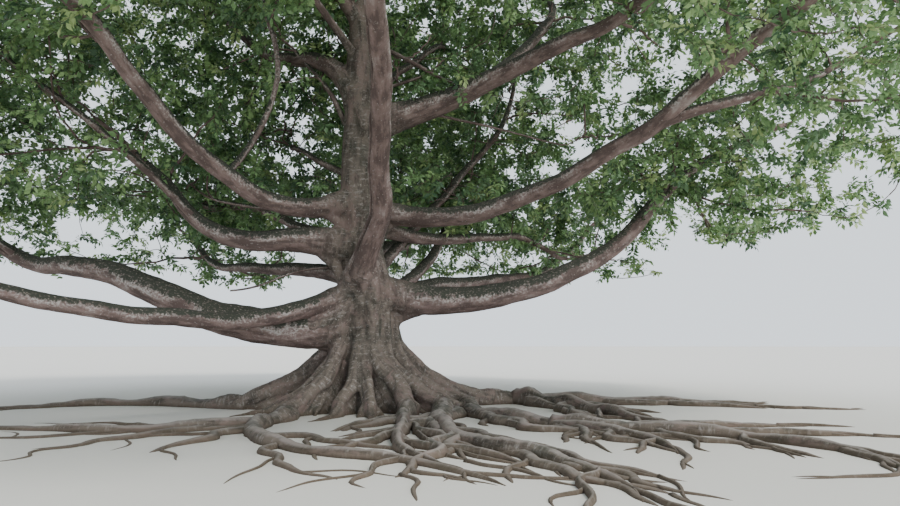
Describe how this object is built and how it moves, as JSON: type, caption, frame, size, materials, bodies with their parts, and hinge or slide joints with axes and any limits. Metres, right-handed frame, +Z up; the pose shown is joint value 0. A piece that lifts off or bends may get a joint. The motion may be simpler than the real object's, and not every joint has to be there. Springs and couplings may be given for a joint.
{
  "type": "banyan tree",
  "caption": "Spreading banyan with a fluted, buttressed trunk, creeping surface roots, long low boughs and a wide umbrella crown of fine foliage.",
  "frame": {"origin": "middle of the flat cut under the trunk, at ground level", "axes": "+Z up along the trunk, +X to the right and +Y away from the viewer in the picture"},
  "size_m": [28.9435, 27.5641, 17.4962],
  "materials": {
    "bark": "smooth grey-brown bark, pinkish below, with dark moss on top and pale lichen specks",
    "root_bark": "weathered grey-brown root bark, worn pale on its back",
    "foliage": "small leathery leaves, dull satin green"
  },
  "bodies": {
    "root": {"bough_back": "bark", "bough_back_left": "bark", "bough_back_left_low": "bark", "bough_back_right": "bark", "bough_back_right_low": "bark", "bough_far_right": "bark", "bough_front": "bark", "bough_front_riser": "bark", "bough_high_back_left": "bark", "bough_high_back_right": "bark", "bough_high_left": "bark", "bough_high_left_riser": "bark", "bough_low_left_back": "bark", "bough_low_left_front": "bark", "bough_low_right": "bark", "bough_mid_left": "bark", "bough_right_behind": "bark", "bough_right_mid": "bark", "bough_right_mid_fork": "bark", "bough_right_upper": "bark", "bough_right_upper_back": "bark", "bough_top_back": "bark", "bough_top_left": "bark", "bough_top_right": "bark", "foliage_back": "foliage", "foliage_back_left": "foliage", "foliage_back_left_low": "foliage", "foliage_back_right": "foliage", "foliage_back_right_low": "foliage", "foliage_far_right": "foliage", "foliage_front": "foliage", "foliage_front_riser": "foliage", "foliage_high_back_left": "foliage", "foliage_high_back_right": "foliage", "foliage_high_left": "foliage", "foliage_high_left_riser": "foliage", "foliage_low_left_back": "foliage", "foliage_low_left_front": "foliage", "foliage_low_right": "foliage", "foliage_mid_left": "foliage", "foliage_right_behind": "foliage", "foliage_right_mid": "foliage", "foliage_right_mid_fork": "foliage", "foliage_right_upper": "foliage", "foliage_right_upper_back": "foliage", "foliage_top_back": "foliage", "foliage_top_left": "foliage", "foliage_top_right": "foliage", "foliage_trunk": "foliage", "root_back": "root_bark", "root_front": "root_bark", "root_front_left": "root_bark", "root_front_right": "root_bark", "root_left": "root_bark", "root_left_front": "root_bark", "root_right": "root_bark", "root_right_arch": "root_bark", "root_right_long": "root_bark", "root_right_side": "root_bark", "trunk": "bark"}
  },
  "joints": []
}
